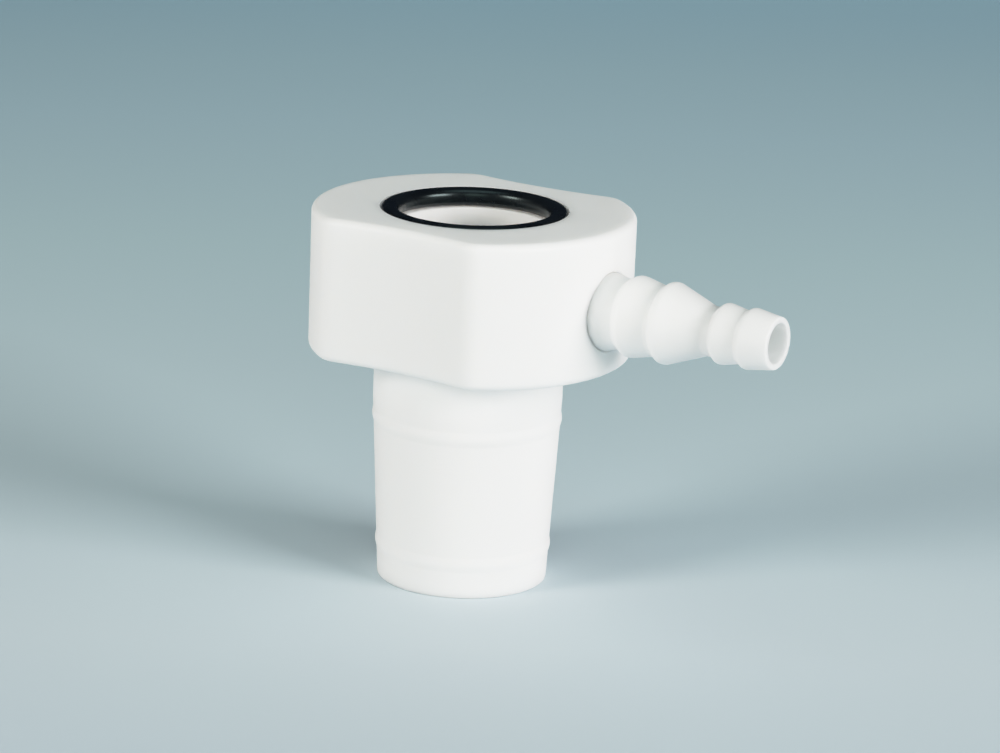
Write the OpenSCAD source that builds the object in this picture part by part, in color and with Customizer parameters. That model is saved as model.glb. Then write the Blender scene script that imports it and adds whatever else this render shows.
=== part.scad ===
// Vacuum filtration adapter for a Buchner funnel.
// A ground-joint cone carries a round head with two hollowed grip faces.
// An O-ring in the head's mouth seals on the funnel, and a hose nipple
// screwed into the head leads to the vacuum line.
// Frame: origin at the centre of the cone's small end, +Z up the cone,
// +X along the hose nipple, millimetres.

/* [Ground cone] */
// Diameter of the cone at its small end
cone_small_d = 26; // [25.6:0.1:26.6]
// Growth of the cone's diameter for each millimetre of length
cone_taper = 0.1; // [0.09:0.005:0.11]
// Height of the head's underside above the small end
cone_len = 35.75; // [32:0.25:50]
// Height of the lower sealing rib
rib_low_z = 5.3; // [4.5:0.1:7]
// Height of the upper sealing rib
rib_high_z = 25.3; // [22:0.1:27]
// Width of each sealing rib at its foot
rib_w = 2.4; // [1.6:0.1:3]
// Height of each sealing rib above the cone
rib_h = 0.2; // [0.1:0.05:0.4]
// Edge break around the cone's small end
foot_edge = 0.2; // [0.1:0.05:0.6]

/* [Head] */
// Diameter over the head's two round ends
head_d = 48.9; // [48:0.1:49.8]
// Height of the head
head_h = 21.9; // [21.5:0.1:26]
// Width across the middle of the two hollowed grip faces
grip_w = 39.6; // [38:0.2:42]
// Radius of each hollowed grip face
grip_r = 71; // [60:1:110]
// Radius of the head's four upright corners
corner_r = 4.2; // [2.5:0.1:5]
// Edge break around the head's top and bottom faces
edge = 0.6; // [0.3:0.05:1]

/* [Bore] */
// Diameter of the bore through the cone, for the funnel's stem
bore_d = 20.8; // [18:0.2:21.2]
// Diameter of the chamber in the head
chamber_d = 22.6; // [22:0.1:23.4]
// Height of the chamber's sloped floor above the head's underside
chamber_up = 0.75; // [0.25:0.25:2.5]

/* [O-ring] */
// Thickness of the O-ring's cord
cord_d = 2.82; // [2.6:0.02:3]
// Inner diameter of the O-ring
ring_id = 22.72; // [22.6:0.02:23.4]
// Height of the O-ring's top above the head's top face
ring_proud = 0.2; // [0:0.05:0.6]

/* [Hose nipple] */
// Height of the nipple's axis above the head's underside
nipple_up = 9.85; // [8:0.05:12]
// Diameter of the nipple's threaded shank
shank_d = 11.6; // [11:0.1:12]
// Distance of the shank's inner end from the head's axis
shank_x = 12.6; // [12.4:0.1:14]
// Distance of the nipple's open end from the head's axis
nipple_x = 52.3; // [51.5:0.05:60]
// Bore of the nipple
nipple_bore = 6; // [5:0.1:6.2]
// Diameter over the two large barbs
barb_big = 12.32; // [11.9:0.02:12.5]
// Diameter over the two small barbs
barb_small = 9.14; // [8.8:0.02:9.4]
// Radial play between the shank and its hole
play = 0.05; // [0.02:0.01:0.09]
// Depth of the countersink at the mouth of the shank's hole
sink = 0.43; // [0.1:0.01:0.8]

/* [Hidden] */
$fn = 96;

head_r = head_d / 2;
top_z = cone_len + head_h;
chamber_z = cone_len + chamber_up;
nipple_z = cone_len + nipple_up;
seat_r = ring_id / 2 + cord_d + play;
ring_r = ring_id / 2 + cord_d / 2;
ring_z = top_z + ring_proud - cord_d / 2;
ledge_z = ring_z - cord_d / 2 - 0.04;
bore_r = bore_d / 2;
chamber_r = chamber_d / 2;
shank_r = shank_d / 2;
throat_r = 4.2;

// Axis of one grip face's hollow, and of the upright corner beside it.
// The corner circle touches the head's round end from inside and the
// hollow from outside.
grip_y = grip_w / 2 + grip_r;
ca = head_r - corner_r;
cb = grip_r + corner_r;
corner_y = (ca * ca - cb * cb + grip_y * grip_y) / (2 * grip_y);
corner_x = sqrt(ca * ca - corner_y * corner_y);

function cone_at(z) = cone_small_d / 2 + cone_taper / 2 * z;

// Outer profile of the cone as [radius, height] points. Each rib is a
// shallow arch on the taper line; the neck above the upper rib is straight.
neck_z = rib_high_z + 2.9;

function rib(zc, n = 8) = [for (i = [0:n])
    let (u = i / n * 2 - 1, z = zc + u * rib_w / 2)
    [cone_at(z) + rib_h * pow(cos(90 * u), 1.4), z]];

cone_profile = concat(
    [[0, 0], [cone_at(0) - foot_edge, 0], [cone_at(foot_edge), foot_edge]],
    rib(rib_low_z), rib(rib_high_z),
    [[cone_at(neck_z), neck_z], [cone_at(neck_z), cone_len + 1], [0, cone_len + 1]]);

// Kite that clears the sharp tip beside one upright corner
module corner_kite() {
    t1 = [corner_x, corner_y] * head_r / ca;
    d2 = [corner_x, corner_y - grip_y];
    t2 = [0, grip_y] + d2 * grip_r / cb;
    polygon([[corner_x, corner_y], t1, t1 * 1.25, (t1 + t2) * 0.7, [t2[0], t2[1] + 3], t2]);
}

// The head's outline: two round ends, two hollows and four round corners
module head_outline() {
    difference() {
        circle(head_r, $fn = 180);
        for (s = [0, 1]) mirror([0, s]) {
            translate([0, grip_y]) circle(grip_r, $fn = 180);
            for (q = [0, 1]) mirror([q, 0]) corner_kite();
        }
    }
    for (s = [0, 1]) mirror([0, s])
        for (q = [0, 1]) mirror([q, 0])
            translate([corner_x, corner_y]) circle(corner_r);
}

// The head with its top and bottom edges broken: cones take the rims of
// the round ends and of the hollows down by the same amount
module head_solid() {
    difference() {
        intersection() {
            linear_extrude(head_h) head_outline();
            rotate_extrude($fn = 180)
                polygon([[0, 0], [head_r - edge, 0], [head_r, edge], [head_r, head_h - edge],
                         [head_r - edge, head_h], [0, head_h]]);
        }
        for (s = [-1, 1]) translate([0, s * grip_y, 0]) {
            translate([0, 0, -0.5])
                cylinder(h = edge + 0.5, r1 = grip_r + edge + 0.5, r2 = grip_r, $fn = 180);
            translate([0, 0, head_h - edge])
                cylinder(h = edge + 0.5, r1 = grip_r, r2 = grip_r + edge + 0.5, $fn = 180);
        }
    }
}

// Head and cone, turned and milled from one bar of fluoropolymer
module adapter_body() {
    color([0.93, 0.93, 0.92]) difference() {
        union() {
            rotate_extrude() polygon(cone_profile);
            translate([0, 0, cone_len]) head_solid();
        }
        // Stem bore, sloped chamber floor, chamber and O-ring seat
        translate([0, 0, -1]) cylinder(h = chamber_z + 1, r = bore_r);
        translate([0, 0, chamber_z - (chamber_r - bore_r)])
            cylinder(h = chamber_r - bore_r, r1 = bore_r, r2 = chamber_r);
        translate([0, 0, chamber_z]) cylinder(h = top_z - chamber_z + 1, r = chamber_r);
        translate([0, 0, ledge_z]) cylinder(h = top_z - ledge_z + 1, r = seat_r);
        // Tapped hole for the nipple, with a shoulder at its inner end
        // and a countersunk mouth
        translate([0, 0, nipple_z]) rotate([0, 90, 0]) {
            translate([0, 0, shank_x]) cylinder(h = head_r, r = shank_r + play);
            translate([0, 0, head_r - sink])
                cylinder(h = 2, r1 = shank_r + play, r2 = shank_r + play + 2);
            cylinder(h = shank_x + 1, r = throat_r);
        }
    }
}

// Black elastomer O-ring in the head's mouth
module o_ring() {
    color([0.07, 0.07, 0.075]) translate([0, 0, ring_z])
        rotate_extrude() translate([ring_r, 0]) circle(cord_d / 2, $fn = 48);
}

// Rounded barb crest: a short arc through the crest at x = xc
function crest(xc, r, fall) = [[xc - 0.62, r - 0.42], [xc - 0.3, r - 0.1], [xc, r],
    [xc + 0.35, r - 0.03], [xc + 0.7, r - 0.7 * fall]];

// The nipple's outline as [distance from the head's axis, radius]
big_r = barb_big / 2;
small_r = barb_small / 2;
nipple_outline = concat(
    [[shank_x, nipple_bore / 2], [shank_x, shank_r - 0.5], [shank_x + 0.5, shank_r],
     [head_r + 0.15, shank_r], [head_r + 1.2, shank_r - 0.33], [nipple_x - 25.3, big_r - 0.88]],
    crest(nipple_x - 23.6, big_r, 0.2),
    [[nipple_x - 19.75, big_r - 0.87], [nipple_x - 19.3, big_r - 0.8]],
    crest(nipple_x - 17.85, big_r, 0.24),
    [[nipple_x - 11.1, small_r - 0.85], [nipple_x - 10.2, small_r - 0.85]],
    crest(nipple_x - 8.7, small_r, 0.18),
    [[nipple_x - 5.65, small_r - 0.6]],
    crest(nipple_x - 4.25, small_r, 0.16),
    [[nipple_x - 0.35, small_r - 0.64], [nipple_x - 0.1, small_r - 0.73],
     [nipple_x, small_r - 0.95], [nipple_x, nipple_bore / 2]]);

// Hose nipple, turned from the same fluoropolymer as the body
module hose_nipple() {
    color([0.95, 0.95, 0.945]) translate([0, 0, nipple_z]) rotate([0, 90, 0])
        rotate_extrude() polygon([for (p = nipple_outline) [p[1], p[0]]]);
}

adapter_body();
o_ring();
hose_nipple();
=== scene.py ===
import math

import bmesh
import bpy
import numpy as np
from mathutils import Matrix, Vector
from mathutils.kdtree import KDTree


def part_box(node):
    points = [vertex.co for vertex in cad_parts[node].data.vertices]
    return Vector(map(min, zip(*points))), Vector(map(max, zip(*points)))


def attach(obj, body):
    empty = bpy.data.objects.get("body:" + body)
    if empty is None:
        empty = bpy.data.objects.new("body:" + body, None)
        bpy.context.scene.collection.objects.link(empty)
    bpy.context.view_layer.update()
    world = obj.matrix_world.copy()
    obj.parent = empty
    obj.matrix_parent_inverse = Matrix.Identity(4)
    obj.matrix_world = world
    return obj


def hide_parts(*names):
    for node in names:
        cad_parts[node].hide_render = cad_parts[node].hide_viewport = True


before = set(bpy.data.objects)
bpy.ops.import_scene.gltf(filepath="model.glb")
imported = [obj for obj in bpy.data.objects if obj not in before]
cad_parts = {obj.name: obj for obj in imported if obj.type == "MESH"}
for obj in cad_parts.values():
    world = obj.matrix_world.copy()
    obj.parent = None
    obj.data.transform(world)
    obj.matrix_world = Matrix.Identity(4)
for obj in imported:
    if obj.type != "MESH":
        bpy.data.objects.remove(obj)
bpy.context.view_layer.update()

MM = 0.001
scene = bpy.context.scene

# ---------------------------------------------------------------- sizes
# All in millimetres, in the row frame; the boxes of the CAD nodes give
# the outer sizes, the rest repeats the design's own dimensions.
body_lo, body_hi = (v * 1000 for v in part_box("adapter_body"))
nip_lo, nip_hi = (v * 1000 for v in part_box("hose_nipple"))
ring_lo, ring_hi = (v * 1000 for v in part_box("o_ring"))

HEAD_R = body_hi.x                     # 24.45
TOP_Z = body_hi.z                      # 57.65
HEAD_Z = 35.75
GRIP_HALF, GRIP_R, CORNER_R, EDGE_R = 19.8, 71.0, 4.2, 1.05
BORE_R, CHAMBER_R, CHAMBER_Z = 10.4, 11.3, 36.5
SEAT_R = ring_hi.x + 0.05
CORD_R = (ring_hi.z - ring_lo.z) / 2
RING_Z = (ring_hi.z + ring_lo.z) / 2
RING_R = ring_hi.x - CORD_R
LEDGE_Z = RING_Z - CORD_R - 0.04
NIP_Z = (nip_lo.z + nip_hi.z) / 2
NIP_X0, NIP_X1 = nip_lo.x, nip_hi.x    # 12.6, 52.3
SHANK_R, NIP_BORE = 5.8, 3.0


# ---------------------------------------------------------------- mesh help
def grid_mesh(name, rings, closed_rows=True):
    """A closed tube of quads: rings is an array (rows, n, 3) in millimetres."""
    rows, n, _ = rings.shape
    verts = (rings.reshape(-1, 3) * MM).tolist()
    i = np.arange(rows if closed_rows else rows - 1)
    j = np.arange(n)
    a, b = np.meshgrid(i, j, indexing="ij")
    a2, b2 = (a + 1) % rows, (b + 1) % n
    faces = np.stack([a * n + b, a * n + b2, a2 * n + b2, a2 * n + b], -1).reshape(-1, 4)
    me = bpy.data.meshes.new(name)
    me.from_pydata(verts, [], faces.tolist())
    me.validate()
    me.update()
    ob = bpy.data.objects.new(name, me)
    scene.collection.objects.link(ob)
    return ob


def outward(ob):
    bm = bmesh.new()
    bm.from_mesh(ob.data)
    bmesh.ops.recalc_face_normals(bm, faces=bm.faces)
    if bm.calc_volume(signed=True) < 0:
        bmesh.ops.reverse_faces(bm, faces=bm.faces)
    bm.to_mesh(ob.data)
    bm.free()


def smooth(ob, angle=32.0):
    me = ob.data
    me.polygons.foreach_set("use_smooth", [True] * len(me.polygons))
    me.set_sharp_from_angle(angle=math.radians(angle))
    me.update()


def spline(points, step=0.1):
    """Samples a polyline finely enough that straight runs keep even rows."""
    out = [np.array(points[0], float)]
    for p, q in zip(points[:-1], points[1:]):
        p, q = np.array(p, float), np.array(q, float)
        k = max(1, int(math.ceil(np.linalg.norm(q - p) / step)))
        out += [p + (q - p) * (t / k) for t in range(1, k + 1)]
    return out


def arc(cx, cy, r, a0, a1, n=8):
    t = np.radians(np.linspace(a0, a1, n + 1))
    return [(cx + r * math.cos(a), cy + r * math.sin(a)) for a in t]


def fillet(points, radii, n=6):
    """Rounds a polyline's inner corners: radii maps an index to its radius."""
    out = []
    for i, p in enumerate(points):
        r = radii.get(i, 0)
        if r <= 0 or i in (0, len(points) - 1):
            out.append(tuple(p))
            continue
        p = np.array(p, float)
        u = np.array(points[i - 1], float) - p
        v = np.array(points[i + 1], float) - p
        lu, lv = np.linalg.norm(u), np.linalg.norm(v)
        u, v = u / lu, v / lv
        c = float(np.clip(u @ v, -1, 1))
        half = math.acos(c) / 2
        t = min(r / math.tan(half), 0.48 * lu, 0.48 * lv)
        r = t * math.tan(half)
        a, b = p + u * t, p + v * t
        m = (u + v) / np.linalg.norm(u + v)
        o = p + m * (r / math.sin(half))
        a0, b0 = a - o, b - o
        w = math.acos(float(np.clip((a0 @ b0) / (r * r), -1, 1)))
        for k in range(n + 1):
            s = k / n
            q = (math.sin((1 - s) * w) * a0 + math.sin(s * w) * b0) / math.sin(w) if w > 1e-6 else a0
            out.append(tuple(o + q))
    return out


# ---------------------------------------------------------------- body
GRIP_Y = GRIP_HALF + GRIP_R
CA, CB = HEAD_R - CORNER_R, GRIP_R + CORNER_R
CY = (CA * CA - CB * CB + GRIP_Y * GRIP_Y) / (2 * GRIP_Y)
CX = math.sqrt(CA * CA - CY * CY)


def outline(theta, inset):
    """Distance from the axis to the head's outline, moved in by inset, along each theta."""
    x, y = np.abs(np.cos(theta)), np.abs(np.sin(theta))
    q = np.arctan2(y, x)
    r = np.full(q.shape, HEAD_R - inset)
    t1 = math.atan2(CY, CX)
    k = (GRIP_R + inset) / CB
    t2 = math.atan2(GRIP_Y + (CY - GRIP_Y) * k, CX * k)
    cu = CX * x + CY * y
    corner = cu + np.sqrt(np.maximum(cu * cu - (CX * CX + CY * CY) + (CORNER_R - inset) ** 2, 0))
    su = GRIP_Y * y
    hollow = su - np.sqrt(np.maximum(su * su - GRIP_Y ** 2 + (GRIP_R + inset) ** 2, 0))
    r = np.where(q > t1, corner, r)
    return np.where(q > t2, hollow, r)


def cone_at(z):
    return 13.0 + 0.05 * z


def rib_rise(z, zc, w=1.2, h=0.2):
    u = np.clip((z - zc) / w, -1, 1)
    return h * np.cos(np.pi / 2 * u) ** 1.4


def cone_outer(z):
    """The cone's outer radius: taper with two ribs, then a straight neck."""
    base = np.minimum(cone_at(z), cone_at(28.2))
    return base + rib_rise(z, 5.3) + rib_rise(z, 25.3)


def body_rings(n=432):
    theta = np.linspace(0, 2 * math.pi, n, endpoint=False)
    rows = []

    def circle(r, z):
        rows.append(("r", r, z))

    def head(inset, z):
        rows.append(("h", inset, z))

    # inside, from the foot up
    for r, z in arc(BORE_R + 0.3, 0.3, 0.3, 270, 180, 5):
        circle(r, z)
    for z in np.linspace(3, 33, 8):
        circle(BORE_R, z)
    z0 = CHAMBER_Z - (CHAMBER_R - BORE_R)
    for r, z in fillet([(BORE_R, 34), (BORE_R, z0), (CHAMBER_R, CHAMBER_Z), (CHAMBER_R, 39)], {1: 0.4, 2: 0.4}, 3):
        circle(r, z)
    for z in (42, 45, 48, 51, 53.6):
        circle(CHAMBER_R, z)
    e = 0.15
    for r, z in arc(CHAMBER_R + e, LEDGE_Z - e, e, 180, 90, 4):
        circle(r, z)
    for r, z in arc(SEAT_R - 0.3, LEDGE_Z + 0.3, 0.3, 270, 360, 4):
        circle(r, z)
    circle(SEAT_R, (LEDGE_Z + TOP_Z) / 2)
    e = 0.14
    for r, z in arc(SEAT_R + e, TOP_Z - e, e, 180, 90, 5):
        circle(r, z)
    rim = SEAT_R + e
    for t in (0.12, 0.3, 0.5, 0.7, 0.88):
        rows.append(("m", rim, t, EDGE_R, TOP_Z))
    for a in np.radians(np.linspace(90, 0, 11)):
        head(EDGE_R * (1 - math.cos(a)), TOP_Z - EDGE_R + EDGE_R * math.sin(a))
    for z in np.linspace(TOP_Z - 2.2, HEAD_Z + 2.2, 16):
        head(0, z)
    for a in np.radians(np.linspace(0, 90, 11)):
        head(EDGE_R * (1 - math.cos(a)), HEAD_Z + EDGE_R - EDGE_R * math.sin(a))
    neck = float(cone_outer(np.array(34.0)))
    f = 0.45
    for t in (0.88, 0.7, 0.5, 0.3, 0.12):
        rows.append(("m", neck + f, t, EDGE_R, HEAD_Z))
    for r, z in arc(neck + f, HEAD_Z - f, f, 90, 180, 5):
        circle(r, z)
    for z in np.concatenate([np.linspace(34.6, 28.9, 7), np.arange(28.6, 27.0, -0.2), np.arange(27.0, 23.79, -0.1),
                             np.linspace(23, 7.4, 16), np.arange(6.9, 3.29, -0.1), np.linspace(3.1, 0.5, 7)]):
        circle(float(cone_outer(np.array(z))), float(z))
    foot = float(cone_outer(np.array(0.2)))
    e = 0.22
    for r, z in arc(foot - e, e, e, 0, -90, 7):
        circle(r, z)
    circle((foot + BORE_R) / 2, 0)

    c, s = np.cos(theta), np.sin(theta)
    out = []
    for row in rows:
        if row[0] == "r":
            r, z = np.full(n, row[1]), row[2]
        elif row[0] == "h":
            r, z = outline(theta, row[1]), row[2]
        else:
            _, inner, t, inset, z = row
            r = inner * (1 - t) + outline(theta, inset) * t
        out.append(np.stack([r * c, r * s, np.full(n, z)], -1))
    return np.array(out)


def revolve_x(points, n):
    """Closed profile of (x, r) points turned round the nipple's axis."""
    p = np.array(points, float)
    t = np.linspace(0, 2 * math.pi, n, endpoint=False)
    x = np.repeat(p[:, :1], n, 1)
    y = p[:, 1:] * np.cos(t)
    z = p[:, 1:] * np.sin(t) + NIP_Z
    return np.stack([x, y, z], -1)


body = grid_mesh("body_ptfe", body_rings())
outward(body)

# The tapped hole: throat, shoulder, hole, and a small countersink that
# the head's round end shows only above and below the nipple.
hole = grid_mesh("hole_tool", revolve_x(
    [(2, 0.02), (2, 4.2), (12.6, 4.2), (12.6, 5.85), (24.02, 5.85), (25.6, 7.43), (25.6, 0.02)], 128))
outward(hole)
hole_bm = bmesh.new()
hole_bm.from_mesh(hole.data)
bmesh.ops.remove_doubles(hole_bm, verts=hole_bm.verts, dist=1e-7)
hole_bm.to_mesh(hole.data)
hole_bm.free()


def cut(target, tool):
    m = target.modifiers.new("cut", "BOOLEAN")
    m.operation = "DIFFERENCE"
    m.solver = "EXACT"
    m.object = tool
    dg = bpy.context.evaluated_depsgraph_get()
    me = bpy.data.meshes.new_from_object(target.evaluated_get(dg))
    target.modifiers.remove(m)
    old = target.data
    target.data = me
    bpy.data.meshes.remove(old)
    bpy.data.objects.remove(tool)


cut(body, hole)
smooth(body, 38)


# ---------------------------------------------------------------- nipple
def nipple_profile():
    x1 = NIP_X1
    big, small = 6.155, 4.565
    pts = [
        (HEAD_R + 0.15, SHANK_R + 0.03), (HEAD_R + 1.2, SHANK_R - 0.33),
        (x1 - 25.05, big - 0.88),
        (x1 - 24.0, big - 0.17), (x1 - 23.6, big), (x1 - 23.0, big - 0.07),
        (x1 - 19.55, big - 0.86),
        (x1 - 18.95, big - 0.83),
        (x1 - 18.25, big - 0.17), (x1 - 17.85, big), (x1 - 17.35, big - 0.05),
        (x1 - 11.05, small - 0.83), (x1 - 9.75, small - 0.86),
        (x1 - 9.05, small - 0.17), (x1 - 8.7, small), (x1 - 8.1, small - 0.08),
        (x1 - 5.4, small - 0.62),
        (x1 - 4.65, small - 0.14), (x1 - 4.25, small), (x1 - 3.7, small - 0.08),
        (x1, small - 0.7),
    ]
    radii = {1: 1.5, 2: 0.5, 3: 0.9, 4: 0.8, 5: 0.9, 6: 0.35, 7: 0.35, 8: 0.9, 9: 0.8, 10: 0.9, 11: 1.2, 12: 0.4,
             13: 0.8, 14: 0.7, 15: 0.8, 16: 0.35, 17: 0.8, 18: 0.7, 19: 0.8}
    return fillet(pts, radii, 5)


def nipple_rings(n=288):
    x1 = NIP_X1
    prof = nipple_profile()
    tip_r = prof[-1][1]
    e = 0.22
    rows = []
    # bore from the inner end to the mouth
    rows += [(NIP_X0, NIP_BORE + 0.25), (NIP_X0 + 0.07, NIP_BORE + 0.07), (NIP_X0 + 0.25, NIP_BORE)]
    rows += [(x, NIP_BORE) for x in np.linspace(NIP_X0 + 2, x1 - 2, 14)]
    rows += [(x1 - 0.5, NIP_BORE)]
    rows += [(x, r) for x, r in arc(x1 - 0.16, NIP_BORE + 0.16, 0.16, 270, 360, 5)]
    rows += [(x, r) for x, r in arc(x1 - e, tip_r - e + 0.04, e, 0, 80, 6)]
    outer = [p for p in prof if p[0] < x1 - e - 0.1][::-1]
    rows += outer
    shank = np.concatenate([np.arange(HEAD_R + 0.1, HEAD_R - 0.5, -0.06), np.arange(HEAD_R - 0.55, NIP_X0 + 0.55, -0.1)])
    k0 = len(rows)
    # a snug shoulder closes the play in the hole's mouth
    rows += [(x, SHANK_R + (0.046 if 22.9 < x else 0.0)) for x in shank]
    k1 = len(rows)
    rows += [(NIP_X0 + 0.45, SHANK_R - 0.08), (NIP_X0, SHANK_R - 0.5)]
    rings = revolve_x(rows, n)
    # thread on the shank that the head hides: crests at the shank's own
    # radius, 1 mm pitch, run out at both ends
    t = np.linspace(0, 2 * math.pi, n, endpoint=False)
    for k in range(k0, k1):
        x = rows[k][0]
        fade = min(1.0, max(0.0, (HEAD_R - 1.9 - x) / 0.9)) * min(1.0, max(0.0, (x - NIP_X0 - 0.55) / 0.9))
        phase = (x / 1.0 - t / (2 * math.pi)) % 1.0
        depth = np.clip(1.25 - np.abs(phase - 0.5) * 3.1, 0, 1) * 0.5 * fade
        r = SHANK_R - depth
        rings[k, :, 1] = r * np.cos(t)
        rings[k, :, 2] = r * np.sin(t) + NIP_Z
    return rings


nipple = grid_mesh("nipple_ptfe", nipple_rings())
outward(nipple)
smooth(nipple, 50)


# ---------------------------------------------------------------- O-ring
def ring_rings(n=384, m=72):
    """The ring's section: round below, pressed a little fuller above where the seat holds it."""
    t = np.linspace(0, 2 * math.pi, n, endpoint=False)
    out = []
    for a in np.linspace(0, 2 * math.pi, m, endpoint=False):
        c, s = math.cos(a), math.sin(a)
        k = 2.0 if s <= 0 else (3.6 if c > 0 else 2.7)
        r = (CORD_R - 0.01) / (abs(c) ** k + abs(s) ** k) ** (1 / k)
        rr = RING_R + r * c
        out.append(np.stack([rr * np.cos(t), rr * np.sin(t), np.full(n, RING_Z + r * s * (0.98 if s > 0 else 1.0))], -1))
    return np.array(out)


seal = grid_mesh("seal_ring", ring_rings())
outward(seal)
smooth(seal, 60)


# ---------------------------------------------------------------- materials
def material(name):
    m = bpy.data.materials.new(name)
    m.use_nodes = True
    nt = m.node_tree
    nt.nodes.clear()
    out = nt.nodes.new("ShaderNodeOutputMaterial")
    bsdf = nt.nodes.new("ShaderNodeBsdfPrincipled")
    nt.links.new(bsdf.outputs["BSDF"], out.inputs["Surface"])
    return m, nt, bsdf


class Build:
    """Short ways to add nodes."""

    def __init__(self, nt):
        self.nt = nt

    def link(self, a, b):
        self.nt.links.new(a, b)

    def put(self, socket, value):
        if isinstance(value, (int, float, tuple, list)):
            socket.default_value = value
        else:
            self.link(value, socket)

    def math(self, op, a, b=0.0, c=None, clamp=False):
        n = self.nt.nodes.new("ShaderNodeMath")
        n.operation = op
        n.use_clamp = clamp
        self.put(n.inputs[0], a)
        self.put(n.inputs[1], b)
        if c is not None:
            self.put(n.inputs[2], c)
        return n.outputs[0]

    def ramp(self, value, low, high, to_low=0.0, to_high=1.0, kind="SMOOTHSTEP"):
        n = self.nt.nodes.new("ShaderNodeMapRange")
        n.interpolation_type = kind
        self.put(n.inputs["Value"], value)
        n.inputs["From Min"].default_value = low
        n.inputs["From Max"].default_value = high
        n.inputs["To Min"].default_value = to_low
        n.inputs["To Max"].default_value = to_high
        return n.outputs["Result"]

    def coords(self):
        return self.nt.nodes.new("ShaderNodeTexCoord").outputs["Object"]

    def normal(self):
        return self.nt.nodes.new("ShaderNodeNewGeometry").outputs["Normal"]

    def split(self, v):
        n = self.nt.nodes.new("ShaderNodeSeparateXYZ")
        self.link(v, n.inputs[0])
        return n.outputs

    def combine(self, x, y, z):
        n = self.nt.nodes.new("ShaderNodeCombineXYZ")
        for s, v in zip(n.inputs, (x, y, z)):
            self.put(s, v)
        return n.outputs[0]

    def noise(self, vector=None, scale=100.0, detail=3.0, rough=0.5, w=None, dims="3D", distortion=0.0):
        n = self.nt.nodes.new("ShaderNodeTexNoise")
        n.noise_dimensions = dims
        if vector is not None and dims != "1D":
            self.link(vector, n.inputs["Vector"])
        if w is not None:
            self.put(n.inputs["W"], w)
        n.inputs["Scale"].default_value = scale
        n.inputs["Detail"].default_value = detail
        n.inputs["Roughness"].default_value = rough
        n.inputs["Distortion"].default_value = distortion
        return n.outputs["Fac"]

    def mix(self, fac, a, b):
        n = self.nt.nodes.new("ShaderNodeMix")
        n.data_type = "RGBA"
        self.put(n.inputs[0], fac)
        self.put(n.inputs[6], a)
        self.put(n.inputs[7], b)
        return n.outputs[2]

    def mixf(self, fac, a, b):
        n = self.nt.nodes.new("ShaderNodeMix")
        n.data_type = "FLOAT"
        self.put(n.inputs[0], fac)
        self.put(n.inputs[2], a)
        self.put(n.inputs[3], b)
        return n.outputs[0]

    def bump(self, height, strength, distance, normal=None):
        n = self.nt.nodes.new("ShaderNodeBump")
        n.inputs["Strength"].default_value = strength
        n.inputs["Distance"].default_value = distance
        self.link(height, n.inputs["Height"])
        if normal is not None:
            self.link(normal, n.inputs["Normal"])
        return n.outputs["Normal"]


WHITE_A = (0.969, 0.979, 0.972, 1)
WHITE_B = (0.949, 0.961, 0.954, 1)
SCUFF = (0.88, 0.885, 0.87, 1)


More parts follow.
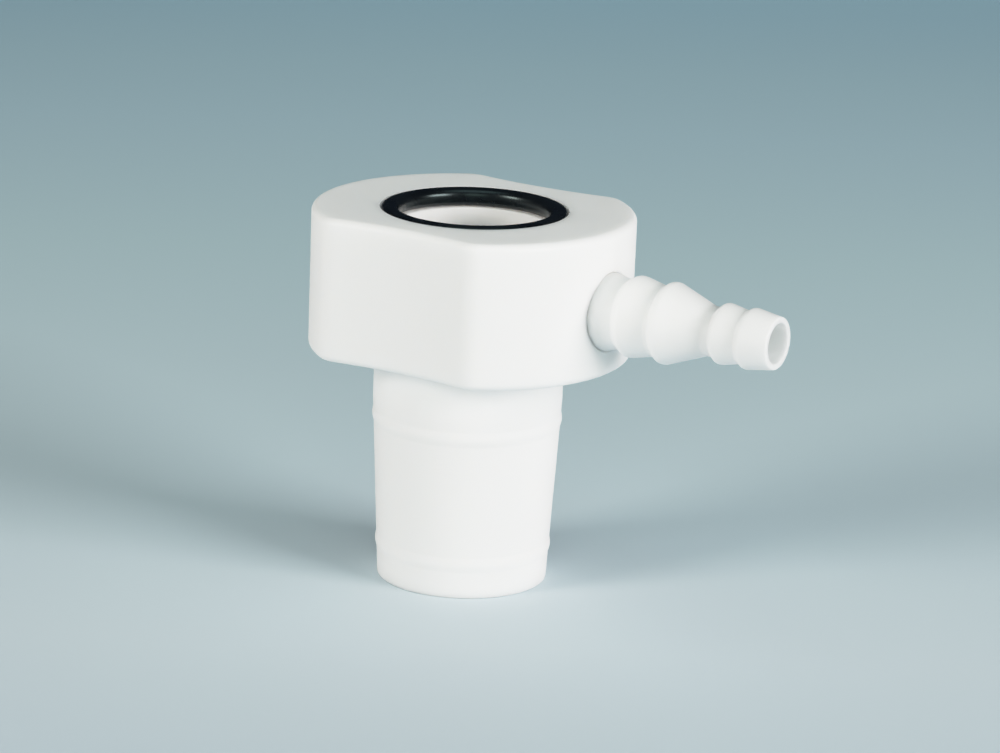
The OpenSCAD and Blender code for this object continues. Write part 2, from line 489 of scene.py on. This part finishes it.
def ptfe(name, kind):
    m, nt, bsdf = material(name)
    b = Build(nt)
    p = b.coords()
    px, py, pz = b.split(p)
    nx, ny, nz = b.split(b.normal())
    # "along" runs across the tool's feed: grooves are lines of equal "along"
    if kind == "body":
        radius = b.math("SQRT", b.math("ADD", b.math("MULTIPLY", px, px), b.math("MULTIPLY", py, py)))
        flat = b.math("GREATER_THAN", b.math("ABSOLUTE", nz), 0.75)
        milled = b.math("MULTIPLY", b.math("GREATER_THAN", b.math("ABSOLUTE", ny), 0.93),
                        b.math("GREATER_THAN", pz, 0.0368))
        milled = b.math("MULTIPLY", milled, b.math("GREATER_THAN", radius, 0.0185))
        along = b.mixf(milled, b.mixf(flat, pz, radius), b.math("MULTIPLY", px, 1.0))
    else:
        dz = b.math("SUBTRACT", pz, NIP_Z * MM)
        radius = b.math("SQRT", b.math("ADD", b.math("MULTIPLY", dz, dz), b.math("MULTIPLY", py, py)))
        flat = b.math("GREATER_THAN", b.math("ABSOLUTE", nx), 0.9)
        along = b.mixf(flat, px, radius)
    fine = b.noise(w=along, dims="1D", scale=9000.0, detail=2.0, rough=0.6)
    coarse = b.noise(w=along, dims="1D", scale=1700.0, detail=2.0, rough=0.5)
    # soft cloudiness of sintered fluoropolymer, and a faint grain
    cloud = b.noise(p, scale=55.0, detail=4.0, rough=0.55)
    grain = b.noise(p, scale=2600.0, detail=3.0, rough=0.6)
    # handling marks: short thin scuffs, stretched across the surface
    stretch = nt.nodes.new("ShaderNodeMapping")
    stretch.inputs["Scale"].default_value = (1.0, 1.0, 0.28)
    stretch.inputs["Rotation"].default_value = (0.5, 0.9, 0.3)
    b.link(p, stretch.inputs["Vector"])
    marks = b.noise(stretch.outputs[0], scale=520.0, detail=5.0, rough=0.7, distortion=0.6)
    marks = b.ramp(marks, 0.66, 0.74)
    where = b.ramp(b.noise(p, scale=70.0, detail=2.0), 0.50, 0.62)
    marks = b.math("MULTIPLY", marks, where)
    # worn edges: convex edges are a little smoother and greyer
    edge = b.ramp(nt.nodes.new("ShaderNodeNewGeometry").outputs["Pointiness"], 0.505, 0.56)
    edge = b.math("MULTIPLY", edge, b.ramp(b.noise(p, scale=240.0, detail=3.0), 0.4, 0.6))
    tint = b.mix(b.ramp(cloud, 0.35, 0.68), WHITE_A, WHITE_B)
    tint = b.mix(b.math("MULTIPLY", marks, 0.35), tint, SCUFF)
    tint = b.mix(b.math("MULTIPLY", edge, 0.25), tint, SCUFF)
    b.link(tint, bsdf.inputs["Base Color"])
    rough = b.ramp(b.noise(p, scale=180.0, detail=4.0, rough=0.6), 0.3, 0.7, 0.42, 0.54)
    rough = b.math("SUBTRACT", rough, b.math("MULTIPLY", edge, 0.06))
    rough = b.math("ADD", rough, b.math("MULTIPLY", marks, 0.10))
    b.link(rough, bsdf.inputs["Roughness"])
    height = b.math("ADD", b.math("MULTIPLY", fine, 0.5), b.math("MULTIPLY", coarse, 0.6))
    height = b.math("ADD", height, b.math("MULTIPLY", grain, 0.35))
    height = b.math("SUBTRACT", height, b.math("MULTIPLY", marks, 0.5))
    b.link(b.bump(height, 0.35, 0.00003), bsdf.inputs["Normal"])
    bsdf.inputs["IOR"].default_value = 1.36
    bsdf.inputs["Subsurface Weight"].default_value = 1.0
    bsdf.inputs["Subsurface Radius"].default_value = (1.0, 0.97, 0.93)
    bsdf.inputs["Subsurface Scale"].default_value = 0.002 if kind == "body" else 0.003
    bsdf.subsurface_method = "RANDOM_WALK"
    return m


def rubber(name):
    m, nt, bsdf = material(name)
    b = Build(nt)
    p = b.coords()
    cloud = b.noise(p, scale=140.0, detail=4.0, rough=0.6)
    grain = b.noise(p, scale=5200.0, detail=3.0, rough=0.65)
    dust = b.ramp(b.noise(p, scale=1900.0, detail=4.0, rough=0.7), 0.66, 0.76)
    tint = b.mix(b.ramp(cloud, 0.3, 0.7), (0.003, 0.004, 0.0055, 1), (0.006, 0.008, 0.010, 1))
    tint = b.mix(b.math("MULTIPLY", dust, 0.12), tint, (0.10, 0.10, 0.10, 1))
    b.link(tint, bsdf.inputs["Base Color"])
    b.link(b.ramp(cloud, 0.25, 0.75, 0.24, 0.32), bsdf.inputs["Roughness"])
    bsdf.inputs["Specular IOR Level"].default_value = 0.36
    bsdf.inputs["Specular Tint"].default_value = (0.74, 0.97, 1.0, 1)
    height = b.math("ADD", b.math("MULTIPLY", grain, 0.6), b.math("MULTIPLY", cloud, 0.4))
    b.link(b.bump(height, 0.25, 0.00004), bsdf.inputs["Normal"])
    bsdf.inputs["IOR"].default_value = 1.5
    return m


body.data.materials.append(ptfe("ptfe_body", "body"))
nipple.data.materials.append(ptfe("ptfe_nipple", "nipple"))
seal.data.materials.append(rubber("elastomer_black"))

for piece, ride_on, node, slot in (
    (body, "adapter", "adapter_body", "white_fluoropolymer"),
    (nipple, "nipple", "hose_nipple", "white_fluoropolymer"),
    (seal, "seal", "o_ring", "black_elastomer"),
):
    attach(piece, ride_on)
    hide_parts(node)


# ---------------------------------------------------------------- stage
def stage_floor():
    me = bpy.data.meshes.new("floor")
    bm = bmesh.new()
    bmesh.ops.create_grid(bm, x_segments=24, y_segments=24, size=4.0)
    bm.to_mesh(me)
    bm.free()
    ob = bpy.data.objects.new("floor", me)
    scene.collection.objects.link(ob)
    m, nt, bsdf = material("floor_paper")
    b = Build(nt)
    p = b.coords()
    # a paper floor with painted light: its colour is graded along the view, a little darker at the near edge, pale
    # near the object and cooler and bluer towards the back, a painted bluish ambient and grazing reflection
    px, py, pz = b.split(p)
    depth = b.math("ADD", b.math("MULTIPLY", px, -0.523), b.math("MULTIPLY", py, 0.852))
    ramp = nt.nodes.new("ShaderNodeValToRGB")
    # these stops are painted light: they tint the floor bluer towards the back in place of a bluish ambient
    painted_light_stops = ((-0.10, (0.543, 0.641, 0.714)), (-0.035, (0.616, 0.714, 0.780)), (0.117, (0.609, 0.754, 0.815)),
             (0.21, (0.620, 0.809, 0.872)), (0.336, (0.626, 0.845, 0.953)), (0.414, (0.617, 0.848, 0.962)),
             (0.52, (0.579, 0.823, 0.966)))
    while len(ramp.color_ramp.elements) < len(painted_light_stops):
        ramp.color_ramp.elements.new(0.5)
    for element, (d, c) in zip(ramp.color_ramp.elements, painted_light_stops):
        element.position = (d + 0.10) / 0.62
        element.color = (*c, 1)
    b.link(b.ramp(depth, -0.10, 0.52, kind="LINEAR"), ramp.inputs["Fac"])
    base = ramp.outputs["Color"]
    speck = b.noise(p, scale=900.0, detail=3.0)
    base = b.mix(b.math("MULTIPLY", speck, 0.03), base, (0.53, 0.59, 0.61, 1))
    b.link(base, bsdf.inputs["Base Color"])
    bsdf.inputs["Roughness"].default_value = 0.75
    me.materials.append(m)
    return ob


stage_floor()

world = bpy.data.worlds.new("studio")
scene.world = world
world.use_nodes = True
bg = world.node_tree.nodes["Background"]
bg.inputs["Color"].default_value = (0.45, 0.65, 1.0, 1)
bg.inputs["Strength"].default_value = 0.03


def softbox(name, azimuth, elevation, distance, size, power, color=(1, 1, 1), aim=(0, 0, 0.03)):
    a, e = math.radians(azimuth), math.radians(elevation)
    aim = Vector(aim)
    pos = aim + Vector((math.cos(a) * math.cos(e), math.sin(a) * math.cos(e), math.sin(e))) * distance
    light = bpy.data.lights.new(name, "AREA")
    light.shape = "RECTANGLE"
    light.size, light.size_y = size
    light.energy = power
    light.color = color
    ob = bpy.data.objects.new(name, light)
    ob.location = pos
    ob.rotation_mode = "QUATERNION"
    ob.rotation_quaternion = (aim - pos).to_track_quat("-Z", "Y")
    ob.visible_camera = False
    scene.collection.objects.link(ob)
    return ob


softbox("softbox_right", -1, 18, 0.9, (0.45, 0.25), 8.3, (1.0, 0.945, 0.91))
softbox("softbox_left", -117, 20, 0.9, (0.30, 0.30), 5.3, (1.0, 0.925, 0.85))
softbox("softbox_front", -58, 15, 1.0, (0.5, 0.5), 1.45, (0.86, 1.0, 0.86))
softbox("softbox_top", -58, 78, 0.4, (0.3, 0.3), 0.38, (0.80, 1.0, 0.97))
back = softbox("softbox_back", 120, 15, 1.0, (0.6, 0.6), 1.2, (0.66, 0.97, 0.98))
back.visible_glossy = False

# ---------------------------------------------------------------- camera
cam_data = bpy.data.cameras.new("camera")
cam_data.sensor_fit = "HORIZONTAL"
cam_data.sensor_width = 36.0
cam_data.lens = 130.08
cam_data.clip_start, cam_data.clip_end = 0.01, 20.0
camera = bpy.data.objects.new("camera", cam_data)
scene.collection.objects.link(camera)
scene.camera = camera
eye = Vector((280.71, -448.70, 179.57)) * MM
look = Vector((4.069, 2.546, 31.45)) * MM
fwd = (look - eye).normalized()
right = fwd.cross(Vector((0, 0, 1))).normalized()
up = right.cross(fwd)
roll = math.radians(2.24)
r2 = right * math.cos(roll) + up * math.sin(roll)
u2 = up * math.cos(roll) - right * math.sin(roll)
camera.matrix_world = Matrix((
    (r2.x, u2.x, -fwd.x, eye.x),
    (r2.y, u2.y, -fwd.y, eye.y),
    (r2.z, u2.z, -fwd.z, eye.z),
    (0, 0, 0, 1)))

# Soft shoulder, as a camera gives bright whites
view = scene.view_settings
view.view_transform = "Standard"
view.look = "None"
view.use_curve_mapping = True
curves = view.curve_mapping
curves.clip_max_x = curves.clip_max_y = 3.0
curves.extend = "EXTRAPOLATED"
for straight in list(curves.curves)[:3]:
    straight.points[1].location = (3.0, 3.0)
KNEE = 0.5


def shoulder(x):
    return x if x < KNEE else KNEE + (1 - KNEE) * (1 - math.exp(-(x - KNEE) / (1 - KNEE)))


tone = curves.curves[3]
tone.points[1].location = (3.0, shoulder(3.0))
for x in (0.25, 0.5, 0.6, 0.7, 0.8, 0.9, 1.0, 1.15, 1.3, 1.5, 1.75, 2.0, 2.4):
    tone.points.new(x, shoulder(x))
for curve in curves.curves:
    for point in curve.points:
        point.handle_type = "VECTOR"
curves.update()
